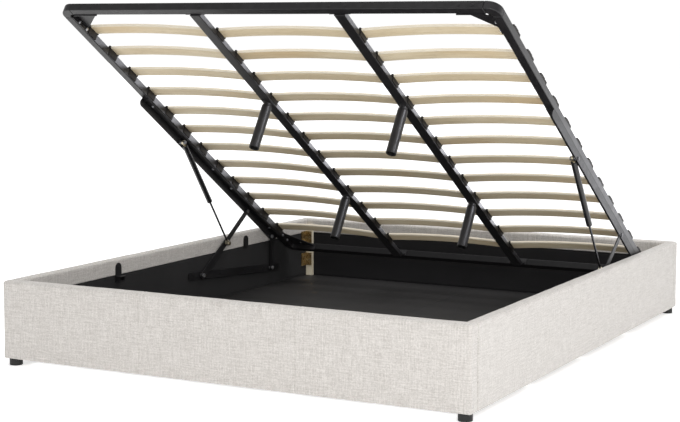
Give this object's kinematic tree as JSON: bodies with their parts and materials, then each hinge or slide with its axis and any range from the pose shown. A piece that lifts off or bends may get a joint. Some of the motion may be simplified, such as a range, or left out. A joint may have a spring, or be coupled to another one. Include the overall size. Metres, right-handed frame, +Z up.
{
  "type": "double bed",
  "caption": "Upholstered double bed base with under-bed storage and a gas-lift slatted frame, shown raised on its lift linkage.",
  "frame": {"origin": "centre of the footprint on the floor, with the lifting frame raised", "axes": "+X across the bed to the right seen from the foot end, +Y from the foot to the head, +Z up"},
  "size_m": [1.72, 2.1, 1.2225],
  "materials": {
    "linen_weave": "woven, matte",
    "black_lining": "non-woven, matte",
    "pale_timber": "planed, unfinished",
    "floor_board_black": "black faced hardboard",
    "beech_ply": "bowed laminate, satin",
    "holder_plastic": "moulded",
    "black_plastic": "moulded",
    "yellow_zinc": "yellow passivated zinc",
    "bright_zinc": "bright zinc",
    "rod_steel": "nitrided rod",
    "strut_black": "satin black",
    "black_steel": "black, semi-matt",
    "powder_coat": "black powder coat, satin"
  },
  "bodies": {
    "root": {"corner_brackets": "yellow_zinc", "corner_feet": "black_plastic", "corner_posts": "pale_timber", "floor_battens": "pale_timber", "floor_board_left": "floor_board_black", "floor_board_right": "floor_board_black", "floor_support_feet": "black_plastic", "foot_panel_core": "pale_timber", "foot_panel_lining": "black_lining", "foot_panel_upholstery": "linen_weave", "frame_rests": "black_steel", "head_panel_core": "pale_timber", "head_panel_lining": "black_lining", "head_panel_upholstery": "linen_weave", "lower_pivot_bolts": "bright_zinc", "panel_screws": "black_steel", "rail_bracket_left": "black_steel", "rail_bracket_right": "black_steel", "side_rail_core_left": "pale_timber", "side_rail_core_right": "pale_timber", "side_rail_lining_left": "black_lining", "side_rail_lining_right": "black_lining", "side_rail_upholstery_left": "linen_weave", "side_rail_upholstery_right": "linen_weave"},
    "slat_frame": {"corner_gussets": "powder_coat", "foot_tube": "powder_coat", "bracket_bolts": "bright_zinc", "frame_bolts": "powder_coat", "frame_bracket_left": "black_steel", "frame_bracket_right": "black_steel", "frame_corner_bends": "powder_coat", "frame_pivot_pins": "bright_zinc", "head_tube": "powder_coat", "leg_caps": "black_plastic", "leg_saddles": "powder_coat", "middle_rail_left": "powder_coat", "middle_rail_right": "powder_coat", "rail_end_plates": "powder_coat", "side_tube_left": "powder_coat", "side_tube_right": "powder_coat", "slat_holders_middle": "holder_plastic", "slat_holders_outer": "holder_plastic", "slats_centre": "beech_ply", "slats_left": "beech_ply", "slats_right": "beech_ply", "support_legs": "powder_coat"},
    "front_arm_left": {"front_arm_left": "black_steel"},
    "rear_arm_left": {"rear_arm_left": "black_steel", "rear_arm_pin_left": "bright_zinc"},
    "gas_cylinder_left": {"gas_cylinder_left": "strut_black", "cylinder_eye_left": "yellow_zinc"},
    "gas_rod_left": {"gas_rod_left": "rod_steel", "rod_eye_left": "yellow_zinc"},
    "front_arm_right": {"front_arm_right": "black_steel"},
    "rear_arm_right": {"rear_arm_right": "black_steel", "rear_arm_pin_right": "bright_zinc"},
    "gas_cylinder_right": {"gas_cylinder_right": "strut_black", "cylinder_eye_right": "yellow_zinc"},
    "gas_rod_right": {"gas_rod_right": "rod_steel", "rod_eye_right": "yellow_zinc"}
  },
  "joints": [
    {"name": "frame_lift", "type": "hinge", "parent": "front_arm_left", "child": "slat_frame", "pos_m": [-0.8097, 0.46073, 0.37916], "axis": [1, 0, 0], "range_deg": [0, 58.4]},
    {"name": "front_arm_left_pivot", "type": "hinge", "parent": "root", "child": "front_arm_left", "pos_m": [-0.8097, 0.11979, 0.15357], "axis": [1, 0, 0], "range_deg": [-25.72, 0]},
    {"name": "front_arm_right_pivot", "type": "hinge", "parent": "root", "child": "front_arm_right", "pos_m": [0.8097, 0.11979, 0.15357], "axis": [1, 0, 0], "range_deg": [-25.72, 0]},
    {"name": "rear_arm_left_pivot", "type": "hinge", "parent": "root", "child": "rear_arm_left", "pos_m": [-0.8097, 0.6644, 0.11442], "axis": [1, 0, 0], "range_deg": [-47.59, 0]},
    {"name": "rear_arm_right_pivot", "type": "hinge", "parent": "root", "child": "rear_arm_right", "pos_m": [0.8097, 0.6644, 0.11442], "axis": [1, 0, 0], "range_deg": [-47.59, 0]},
    {"name": "gas_strut_left_pivot", "type": "hinge", "parent": "slat_frame", "child": "gas_cylinder_left", "pos_m": [-0.795, -0.03641, 0.69836], "axis": [1, 0, 0], "range_deg": [0, 16.39]},
    {"name": "gas_strut_right_pivot", "type": "hinge", "parent": "slat_frame", "child": "gas_cylinder_right", "pos_m": [0.795, -0.03641, 0.69836], "axis": [1, 0, 0], "range_deg": [0, 16.39]},
    {"name": "gas_rod_left_slide", "type": "slide", "parent": "gas_cylinder_left", "child": "gas_rod_left", "axis": [0, 0.5981, -0.8014], "range_m": [-0.15567, 0]},
    {"name": "gas_rod_right_slide", "type": "slide", "parent": "gas_cylinder_right", "child": "gas_rod_right", "axis": [0, 0.5981, -0.8014], "range_m": [-0.15567, 0]}
  ],
  "couplings": [
    {"joint": "front_arm_left_pivot", "follows": "frame_lift", "ratio": -0.44011},
    {"joint": "rear_arm_left_pivot", "follows": "frame_lift", "ratio": -0.81446},
    {"joint": "gas_strut_left_pivot", "follows": "frame_lift", "ratio": 0.28036},
    {"joint": "gas_rod_left_slide", "follows": "frame_lift", "m_per_rad": -0.15252},
    {"joint": "front_arm_right_pivot", "follows": "frame_lift", "ratio": -0.44011},
    {"joint": "rear_arm_right_pivot", "follows": "frame_lift", "ratio": -0.81446},
    {"joint": "gas_strut_right_pivot", "follows": "frame_lift", "ratio": 0.28036},
    {"joint": "gas_rod_right_slide", "follows": "frame_lift", "m_per_rad": -0.15252}
  ]
}
